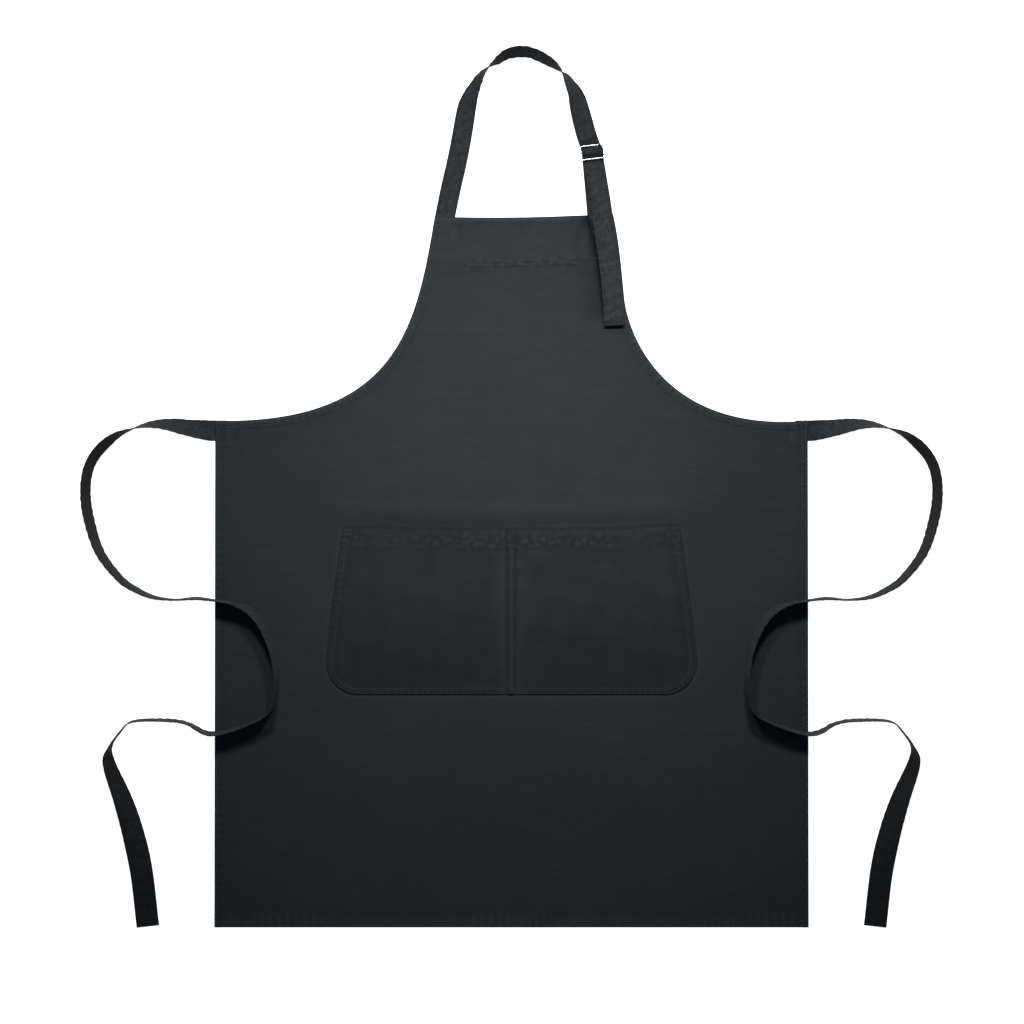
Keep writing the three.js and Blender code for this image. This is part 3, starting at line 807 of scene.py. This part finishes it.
def add_pocket_stitches():
    def front(points):
        return body_height(points) + pocket_lift(points)

    outline = part_of(offset_path(resample(POCKET_SEWN, 1), 2.4), 0.004, 0.996)
    mouth_x = np.linspace(-POCKET_TOP_HALF + 4, POCKET_TOP_HALF - 4, 80)
    hem = np.column_stack([mouth_x, mouth_y(mouth_x) - POCKET_HEM])
    turn = np.linspace(math.pi, 0, 20)
    arch = np.column_stack([DIVIDER_HALF * np.cos(turn), DIVIDER_TOP_Y + DIVIDER_HALF * np.sin(turn)])
    foot = POCKET_BOTTOM_Y + 3
    hairpin = np.vstack([[(-DIVIDER_HALF, foot)], arch, [(DIVIDER_HALF, foot)]])
    runs = [
        ("pocket_outline", outline, MATCHING_THREAD),
        ("pocket_mouth", hem, MATCHING_THREAD),
        ("pocket_divider", hairpin, DARK_THREAD),
    ]
    for name, path, thread in runs:
        row = stitch_row(f"{name}_stitches", *on_surface(path, front), [f"{name}_seam"], thread=thread)
        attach(row, "skirt")
    for side, name in ((-1, "left"), (1, "right")):
        x = side * (POCKET_TOP_HALF - 4.4)
        rows = [(x + 0.9 * side * (-1) ** i, -52.5 - 0.75 * i) for i in range(13)]
        tack = stitch_row(f"{name}_pocket_bartack_stitches", *on_surface(np.array(rows), front),
                          [f"{name}_pocket_bartack"], clear=0.3, radius=0.32)
        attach(tack, "skirt")


def box_of_stitches(x, y, wide, tall, turn):
    """A stitched box with both its diagonals, as one line."""
    w, h = wide / 2, tall / 2
    corners = [(-w, -h), (w, -h), (w, h), (-w, h), (-w, -h), (w, h), (w, -h), (-w, h)]
    c, s = math.cos(math.radians(turn)), math.sin(math.radians(turn))
    return np.array([(x + a * c - b * s, y + a * s + b * c) for a, b in corners])


def add_root_stitches():
    def covered(points):
        return body_height(points) + ROOT_RISE * root_cover(points)

    for side, name in ((-1, "left"), (1, "right")):
        path = box_of_stitches(side * (HALF_WIDTH - 8), 64.5, 7, 20, 0)
        tack = stitch_row(f"{name}_tie_bartack_stitches", *on_surface(path, covered), [f"{name}_tie_bartack"])
        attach(tack, "skirt")
    for name, (x, y), turn in (("left", (-81, 306), -10.3), ("right", (103.5, 310), 5.5)):
        path = box_of_stitches(x, y, 17, 14, turn)
        tack = stitch_row(f"{name}_strap_bartack_stitches", *on_surface(path, covered),
                          [f"{name}_strap_bartack"], thread=MATCHING_THREAD)
        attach(tack, "bib")


# ---------------------------------------------------------------- tapes

STRAP_WIDTH, TIE_WIDTH = 24.0, 24.6
TAPE_THICKNESS = 1.1
STITCH_SINK = 0.12  # how deep a tape's stitches lie in its face
EDGE_ROW = 2.2  # how far in from a tape's edge its stitches run


def catmull_rom(stops, per_span=16):
    """A smooth line through every stop, with the same share of it between each pair."""
    p = np.vstack([2 * stops[0] - stops[1], stops, 2 * stops[-1] - stops[-2]])
    t = np.linspace(0, 1, per_span, endpoint=False)[:, None]
    spans = []
    for a, b, c, d in zip(p, p[1:], p[2:], p[3:]):
        spans.append(0.5 * (2 * b + (c - a) * t + (2 * a - 5 * b + 4 * c - d) * t**2
                            + (3 * b - a - 3 * c + d) * t**3))
    return np.vstack([*spans, stops[-1:]])


def tape_frames(stops, width, step):
    """Middle, width direction and face direction along a tape, from stops of x, y, roll and base."""
    fine = catmull_rom(np.asarray(stops, float))
    roll = np.radians(fine[:, 2])
    lift = (np.abs(np.sin(roll)) * width + np.abs(np.cos(roll)) * TAPE_THICKNESS) / 2
    spine = np.column_stack([fine[:, 0], fine[:, 1], fine[:, 3] + lift, fine[:, 2]])
    run = run_along(spine[:, :3])
    count = max(4, int(round(run[-1] / step)) + 1)
    at = np.linspace(0, run[-1], count)
    even = np.stack([np.interp(at, run, spine[:, i]) for i in range(4)], axis=1)
    middle, roll = even[:, :3], np.radians(even[:, 3])
    for _ in range(2):
        middle[1:-1] = 0.25 * middle[:-2] + 0.5 * middle[1:-1] + 0.25 * middle[2:]
    ahead = headings(middle)
    level = np.column_stack([-ahead[:, 1], ahead[:, 0], np.zeros(count)])
    level /= np.linalg.norm(level, axis=1)[:, None]
    rise = np.cross(ahead, level)
    wide = np.cos(roll)[:, None] * level + np.sin(roll)[:, None] * rise
    face = np.cross(ahead, wide)
    return middle, wide, face, at


def make_tape(name, frames, width, seed, flare=1.0, crinkle=1.0, painted_shading_stops=((0, 0), (1, 0))):
    """A folded and edge-stitched tape as one closed solid with rounded edges and soft puckers.

    Each tone stop is a share of the tape's length and the painted light (above 0) or painted shade (below 0)
    on it there.
    """
    middle, wide, face, at = frames
    half = width / 2
    spread = 1 + (flare - 1) * smooth((at - at[-1] + 215) / 90)
    across = np.array([-1, -0.97, -0.9, -0.8, -0.62, -0.4, -0.15, 0.15, 0.4, 0.62, 0.8, 0.9, 0.97, 1])
    edge = np.sqrt(np.clip(1 - np.abs(across) ** 24, 0, 1))
    groove = 0.26 * hump(np.abs(across) * half - (half - 2.6), 0.8)
    upper = TAPE_THICKNESS / 2 * edge * (1 + 0.25 * hump(np.abs(across) - 0.93, 0.05)) - groove
    section = [(u, h) for u, h in zip(across, upper)] + [(u, -h) for u, h in zip(across[::-1], upper[::-1])]
    section = section[:13] + section[14:27]
    section.insert(13, (1.0, 0.0))
    section.append((-1.0, 0.0))
    stops, painted_light_and_shade = np.array(painted_shading_stops, float).T
    painted_light_and_shade = np.interp(at / at[-1], stops, painted_light_and_shade)
    points, painted_shading = [], []
    for i, (m, w, f) in enumerate(zip(middle, wide, face)):
        s = at[i]
        patch = 0.5 + 0.5 * math.sin(s / 37 + seed)
        for u, h in section:
            x = u * half * spread[i]
            ripple = 0.32 * u * u * math.sin(2 * math.pi * s / 9.0 + 1.8 * math.sin(s / 33 + seed) + u)
            ripple += 0.16 * math.sin(2 * math.pi * (s + 5 * u) / 14.0 + 2.3 * math.sin(s / 21 + seed))
            ripple *= crinkle * (0.4 + 0.6 * patch)
            cup = 0.45 * (u * u - 0.4) * math.sin(s / 55 + 1.3 * seed)
            points.append(m + w * x + f * (h + ripple + cup))
            # Painted light and shade: paler on the crests of the ripples, darker in their troughs, and
            # painted shade in lines along the rows of stitches.
            painted_shading.append(painted_light_and_shade[i] + 0.9 * ripple - 0.35 * math.exp(-(((abs(u) - 0.8) / 0.06) ** 2)))
    points = np.array(points)
    points[:, 2] = np.maximum(points[:, 2], 0.02)
    ring = len(section)
    rows = len(middle)
    faces = []
    for i in range(rows - 1):
        for k in range(ring):
            a, b = i * ring + k, i * ring + (k + 1) % ring
            faces.append((a, a + ring, b + ring, b))
    faces.append(tuple(range(ring)))
    faces.append(tuple((rows - 1) * ring + k for k in reversed(range(ring))))
    return add_piece(name, points * MM, faces, TAPE_CLOTH, np.clip(painted_shading, DEEPEST_PAINTED_SHADE, 1))


def tape_stitches(name, frames, offset, side, start, end):
    """A row of stitches along one face of a tape, offset from its middle."""
    middle, wide, face, _ = frames
    count = len(middle) - 1
    keep = slice(int(start * count), int(end * count) + 1)
    up = face[keep] * side
    path = middle[keep] + wide[keep] * offset + up * (TAPE_THICKNESS / 2 - STITCH_SINK)
    return stitch_row(name, path * MM, up, (), thread=MATCHING_THREAD)


def edge_stitches(name, frames, width, faces=(("_front", 1), ("_back", -1)), start=0.0, end=1.0):
    """A row of stitches close to each edge of a tape, on each of the faces asked for."""
    rows = []
    for label, offset in (("inner", width / 2 - EDGE_ROW), ("outer", EDGE_ROW - width / 2)):
        for which, side in faces:
            rows.append(tape_stitches(f"{name}_{label}{which}_stitches", frames, offset, side, start, end))
    return rows


def end_stitches(name, frames, width, side, node):
    """A row of stitches across a tape, close to its free end."""
    middle, wide, face, _ = frames
    across = np.linspace(-0.42, 0.42, 12)[:, None] * width
    up = np.repeat(side * face[-4:-3], 12, axis=0)
    path = middle[-4] + wide[-4] * across + up * (TAPE_THICKNESS / 2 - STITCH_SINK)
    return stitch_row(name, path * MM, up, [node])


# The left tie from the apron's edge: x, y, roll, base. It is the mirror image of the right one.
TIE_CLEAR = 3.0
TIE_ROUTE = [
    (-352.3, 66.6, 0, 0), (-357.5, 66.6, 2, 0), (-364, 67.3, 14, 0), (-379, 69, 32, 0), (-394, 71.6, 43, 0),
    (-409, 73.8, 56, 0), (-423.7, 74, 67, 0), (-438, 72, 78, 0), (-452.6, 67.6, 91, 0),
    (-467.3, 61.5, 103, 0), (-482, 50.2, 113, 0), (-494.5, 35.8, 113, 0), (-502.2, 18.6, 112, 0),
    (-505, -5, 112, 0), (-501.6, -34.8, 113, 0), (-488.3, -76.6, 109.5, 0), (-463.7, -108.9, 105, 0),
    (-443.8, -122.5, 102, 0), (-423.6, -131, 97, 0), (-398.5, -133.9, 92, 0), (-374, -132.3, 96, 0),
    (-347.6, -135.4, 92, TIE_CLEAR),
    (-329, -138.6, 97, TIE_CLEAR), (-309.6, -147.6, 107, TIE_CLEAR), (-295, -166, 106, TIE_CLEAR),
    (-284, -194, 102, TIE_CLEAR), (-278.8, -225, 100, TIE_CLEAR), (-281, -253, 97, TIE_CLEAR),
    (-293, -273.5, 91, TIE_CLEAR), (-352, -292.8, 82, TIE_CLEAR), (-384, -280.6, 87, 0),
    (-408.5, -276.8, 86, 0), (-449, -278.1, 88, 0), (-463.9, -290.9, 90, 0), (-475.6, -308.3, 94, 0),
    (-477.5, -327, 119, 0), (-460.9, -371.8, 141, 0), (-448.8, -412.3, 156, 0), (-439.6, -458, 178, 0),
    (-432.1, -522.5, 180, 0),
]

# Along the tie: share of its length, and the painted light (above 0) or painted shade (below 0) on the side
# that faces up there; the darkest bands are painted shade where that side faces away from the light.
TIE_PAINTED_SHADING = [(0, 0.1), (0.112, 0.2), (0.13, -2.2), (0.185, -2.3), (0.225, -0.6), (0.26, 0.2), (0.29, -0.2),
             (0.33, 0.1), (0.37, 0.6), (0.45, 0.4), (0.50, 0.3), (0.60, 0.2), (0.70, 0.2), (0.78, -0.2),
             (0.80, -2.2), (0.835, -0.6), (0.93, -0.3), (0.96, -0.9), (1, -0.4)]


def mirrored(stops):
    return [(-x, y, -roll, base) for x, y, roll, base in stops]


def add_ties():
    for name, side in (("left_tie", -1), ("right_tie", 1)):
        stops = TIE_ROUTE if side < 0 else mirrored(TIE_ROUTE)
        hidden = (side * (HALF_WIDTH - 6), TIE_ROOT_Y, 0, 0.02)
        frames = tape_frames([hidden, *stops], TIE_WIDTH, 2.4)
        tie = make_tape(f"{name}_tape", frames, TIE_WIDTH, 1, flare=1.10, painted_shading_stops=TIE_PAINTED_SHADING)
        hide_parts(name)
        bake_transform(tie)
        pieces = edge_stitches(name, frames, TIE_WIDTH)
        pieces.append(end_stitches(f"{name}_end_stitches", frames, TIE_WIDTH, -1, f"{name}_end_seam"))
        for row in pieces:
            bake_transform(row)
        add_tie_root(name, side)


def add_tie_root(name, side):
    stops = [(side * (HALF_WIDTH - x), TIE_ROOT_Y, 0, 0.05) for x in (6.3, 9, 12, 14.6)]
    frames = tape_frames(stops, TIE_WIDTH, 2.4)
    root = make_tape(f"{name}_root_tape", frames, TIE_WIDTH - 0.2, 0)
    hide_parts(f"{name}_root")
    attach(root, "skirt")


# ---------------------------------------------------------------- neck strap and slider

SLIDER_PLACE = (95.8, 397.2)
SLIDER_HEADING = math.radians(6.5)
SLIDER_TILT = math.radians(10.5)
SLIDER_Z = 4.1
SLIDER_WIDTH, SLIDER_PITCH, SLIDER_BAR = 30.0, 8.25, 2.0
TAIL_Z = 4.4
LOOP_HEADING = math.radians(5.0)  # the short strap that holds the slider lies a little askew
LOOP_ASIDE = 0.7

NECK_ROUTE = [
    (-82.3, 303, 0), (-78.9, 321, 0), (-76.2, 335, 0), (-71.2, 358.5, 0), (-65.4, 383.7, -4),
    (-60.3, 409.2, -8), (-56.7, 430, -11), (-53.1, 449.9, -20), (-48, 465.1, -39), (-42.8, 475.8, -53),
    (-37, 486.7, -65), (-28, 497, -82), (-16, 505.4, -105), (-6.9, 511.7, -111), (2.3, 514.6, -115),
    (11.9, 515.5, -116), (22.1, 514.3, -114), (33.1, 510, -114), (44, 504, -110), (55.9, 495.7, -96),
    (64.3, 486.4, -69), (70.5, 475.3, -52), (76.3, 464.6, -35), (80.5, 449.8, -18), (84.7, 433.9, -8),
    (88.2, 421, -4),
]
# Past the slider's bars: how far along the strap, its height, and how far it has slipped to the right.
THROUGH_SLIDER = [
    (-16, 0.7, -3.2), (-11.5, 0.6, -2.2), (-8.25, 0.6, -1.45), (-6.5, 0.9, -1.1), (-5, 2.9, -0.8),
    (-3.6, 5.9, -0.2), (-1.9, 7.5, 0.7), (0, 8.0, 1.4), (1.9, 7.6, 1.7), (3.6, 6.2, 1.1), (5.1, 4.6, 0.9),
    (6.7, 3.7, 0.8), (8.4, 3.6, 0.7),
]
TAIL_ROUTE = [(8.45, 3.6, 0.7), (12, 3.65, 0.9), (16, 4.1, 1.1), (20, TAIL_Z, 1.3)]
UPPER_TAIL = [(101.4, 365, 0), (104.9, 344, 0.4), (107.6, 326, 0.9), (109.2, 311, 1.2), (112.2, 292, 0.8),
              (116, 266, 0.4), (118.8, 241, 0.8), (120.6, 220, 1.4), (122, 191, 2.6)]

# Painted light and shade along the neck strap and along its tail, as for the tie: painted shade at the top of
# the neck loop and beside the slider's bars.
NECK_PAINTED_SHADING = [(0, 0.1), (0.30, 0.2), (0.40, 0.1), (0.44, -1.4), (0.50, -1.7), (0.57, -1.4), (0.61, 0.0),
              (0.72, 0.1), (0.922, 0.1), (0.932, -1.1), (0.94, -0.3), (0.955, -0.9), (0.97, -0.4), (1, -1.2)]
TAIL_PAINTED_SHADING = [(0, -1.7), (0.014, -1.5), (0.024, 0.2), (0.5, 0.3), (0.94, 0.2), (1, -0.2)]


def by_slider(s, z, aside):
    """A stop near the slider: s runs along the strap towards its free end, z is the tape's middle."""
    x, y = SLIDER_PLACE
    sin, cos = math.sin(SLIDER_HEADING), math.cos(SLIDER_HEADING)
    return (x + s * sin + aside * cos, y - s * cos + aside * sin, 0, z - TAPE_THICKNESS / 2)


def add_neck_strap():
    loop = [(x, y, roll, 0.05) for x, y, roll in NECK_ROUTE] + [by_slider(*stop) for stop in THROUGH_SLIDER]
    frames = tape_frames(loop, STRAP_WIDTH, 1.6)
    strap = make_tape("neck_strap_tape", frames, STRAP_WIDTH, 2, painted_shading_stops=NECK_PAINTED_SHADING)
    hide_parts("neck_strap")
    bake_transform(strap)
    for row in edge_stitches("neck_strap", frames, STRAP_WIDTH, start=0.03, end=0.955):
        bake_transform(row)
    run = [by_slider(*stop) for stop in TAIL_ROUTE]
    run += [(x, y, 0, TAIL_Z + lift - TAPE_THICKNESS / 2) for x, y, lift in UPPER_TAIL]
    frames = tape_frames(run, STRAP_WIDTH, 1.6)
    tail = make_tape("strap_tail_tape", frames, STRAP_WIDTH, 3, crinkle=1.6, painted_shading_stops=TAIL_PAINTED_SHADING)
    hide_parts("strap_tail")
    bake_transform(tail)
    rows = edge_stitches("strap_tail", frames, STRAP_WIDTH, faces=[("", 1)], start=0.04)
    for row in (*rows, end_stitches("tail_end_stitches", frames, STRAP_WIDTH, 1, "tail_end_seam")):
        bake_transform(row)


def add_slider_loop():
    """The short strap from behind the bib, round the middle bar and back onto itself."""
    radius = 2.2
    turns = [math.pi * (1.5 - (i / 8) * 1.25) for i in range(1, 8)]
    around = [(radius * math.cos(a), SLIDER_Z + radius * math.sin(a)) for a in turns]
    under = [(x, 0.6) for x in (95, 75, 60, 40, 20)] + [(10, 0.65), (5.5, 1), (2.4, 1.65), (0, 1.85)]
    back = [(3.2, 4.2), (4.5, 3.0), (6.2, 2.25), (9, 2.1), (15, 2.1), (22, 2.1), (30, 2.1)]
    flat = resample(catmull_rom(np.array([*under, *around, *back], float), 8), 0.9)
    d = headings(flat)
    c, s = math.cos(LOOP_HEADING), math.sin(LOOP_HEADING)
    x0 = SLIDER_PLACE[0] - LOOP_ASIDE
    middle = np.column_stack([x0 + flat[:, 0] * s, SLIDER_PLACE[1] - flat[:, 0] * c, flat[:, 1]])
    wide = np.repeat([[c, s, 0.0]], len(flat), axis=0)
    ahead = np.column_stack([d[:, 0] * s, -d[:, 0] * c, d[:, 1]])
    face = np.cross(ahead, wide)
    at = run_along(middle)
    loop = make_tape("slider_loop_tape", (middle, wide, face, at), STRAP_WIDTH - 0.8, 0)
    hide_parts("slider_loop")
    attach(loop, "bib")
    down, half = 25, 8.5  # how far below the slider the loop's seam is, and half the seam's length
    x, y = x0 + down * s, SLIDER_PLACE[1] - down * c
    ends = [(x - half * c, y - half * s), (x + half * c, y + half * s)]
    path = resample(ends, 0.8)
    path = np.column_stack([path, np.full(len(path), 2.1 + TAPE_THICKNESS / 2)]) * MM
    up = np.repeat([[0, 0, 1.0]], len(path), axis=0)
    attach(stitch_row("slider_loop_stitches", path, up, ["slider_loop_seam"]), "bib")


def sweep(path, radius, closed):
    """A round bar along a line of points, in millimetres, with low domes for ends if it is open."""
    path = np.asarray(path, float)
    radii = np.full(len(path), radius)
    if closed:
        ahead = np.roll(path, -1, axis=0) - np.roll(path, 1, axis=0)
    else:
        ahead = np.gradient(path, axis=0)
        radii[0] = radii[-1] = radius * 0.35
        radii[1] = radii[-2] = radius * 0.8
    ahead = ahead / np.linalg.norm(ahead, axis=1)[:, None]
    up = np.array([0, 0, 1.0])
    sides = 12
    points, faces = [], []
    for p, a, r in zip(path, ahead, radii):
        side = np.cross(a, up)
        side /= np.linalg.norm(side)
        top = np.cross(side, a)
        for k in range(sides):
            turn = 2 * math.pi * k / sides
            points.append(p + r * (math.cos(turn) * side + math.sin(turn) * top))
    rows = len(path)
    for i in range(rows if closed else rows - 1):
        for k in range(sides):
            a, b = i * sides + k, i * sides + (k + 1) % sides
            c, d = ((i + 1) % rows) * sides + k, ((i + 1) % rows) * sides + (k + 1) % sides
            faces.append((a, b, d, c))
    if not closed:
        faces.append(tuple(reversed(range(sides))))
        faces.append(tuple((rows - 1) * sides + k for k in range(sides)))
    return points, faces


def place_slider(points):
    """Slider coordinates, flat and centred, to the frame."""
    points = np.asarray(points, float)
    x, y, z = points.T
    ct, st = math.cos(-SLIDER_TILT), math.sin(-SLIDER_TILT)
    y, z = y * ct - z * st, y * st + z * ct
    c, s = math.cos(SLIDER_HEADING), math.sin(SLIDER_HEADING)
    return np.column_stack([SLIDER_PLACE[0] + x * c - y * s, SLIDER_PLACE[1] + x * s + y * c, SLIDER_Z + z])


def add_slider():
    """A frame of round wire with a middle bar brazed across it."""
    radius = SLIDER_BAR / 2
    half_w = SLIDER_WIDTH / 2 - radius
    bend = 2.2
    dx, dy = half_w - bend, SLIDER_PITCH - bend
    path = []
    for cx, cy, first in ((dx, dy, 0), (-dx, dy, 90), (-dx, -dy, 180), (dx, -dy, 270)):
        for i in range(7):
            turn = math.radians(first + 15 * i)
            path.append((cx + bend * math.cos(turn), cy + bend * math.sin(turn), 0))
    ring = []
    for a, b in zip(path, path[1:] + path[:1]):
        steps = max(1, int(math.dist(a, b) // 1.5))
        ring += [tuple(np.array(a) + (np.array(b) - np.array(a)) * k / steps) for k in range(steps)]
    points, faces = sweep(ring, radius, True)
    bar = [(x, 0, 0) for x in np.linspace(-half_w, half_w, 24)]
    more, bar_faces = sweep(bar, radius * 0.92, False)
    faces += [tuple(i + len(points) for i in f) for f in bar_faces]
    placed = place_slider(np.vstack([points, more])) * MM
    slider = add_piece("slider_frame", placed, faces, STEEL)
    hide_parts("slider")
    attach(slider, "slider")


# ---------------------------------------------------------------- put together

add_ties()
body = make_body()
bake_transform(body)
pocket = make_pocket()
add_body_stitches()
add_pocket_stitches()
add_root_stitches()
add_neck_strap()
add_slider_loop()
add_slider()
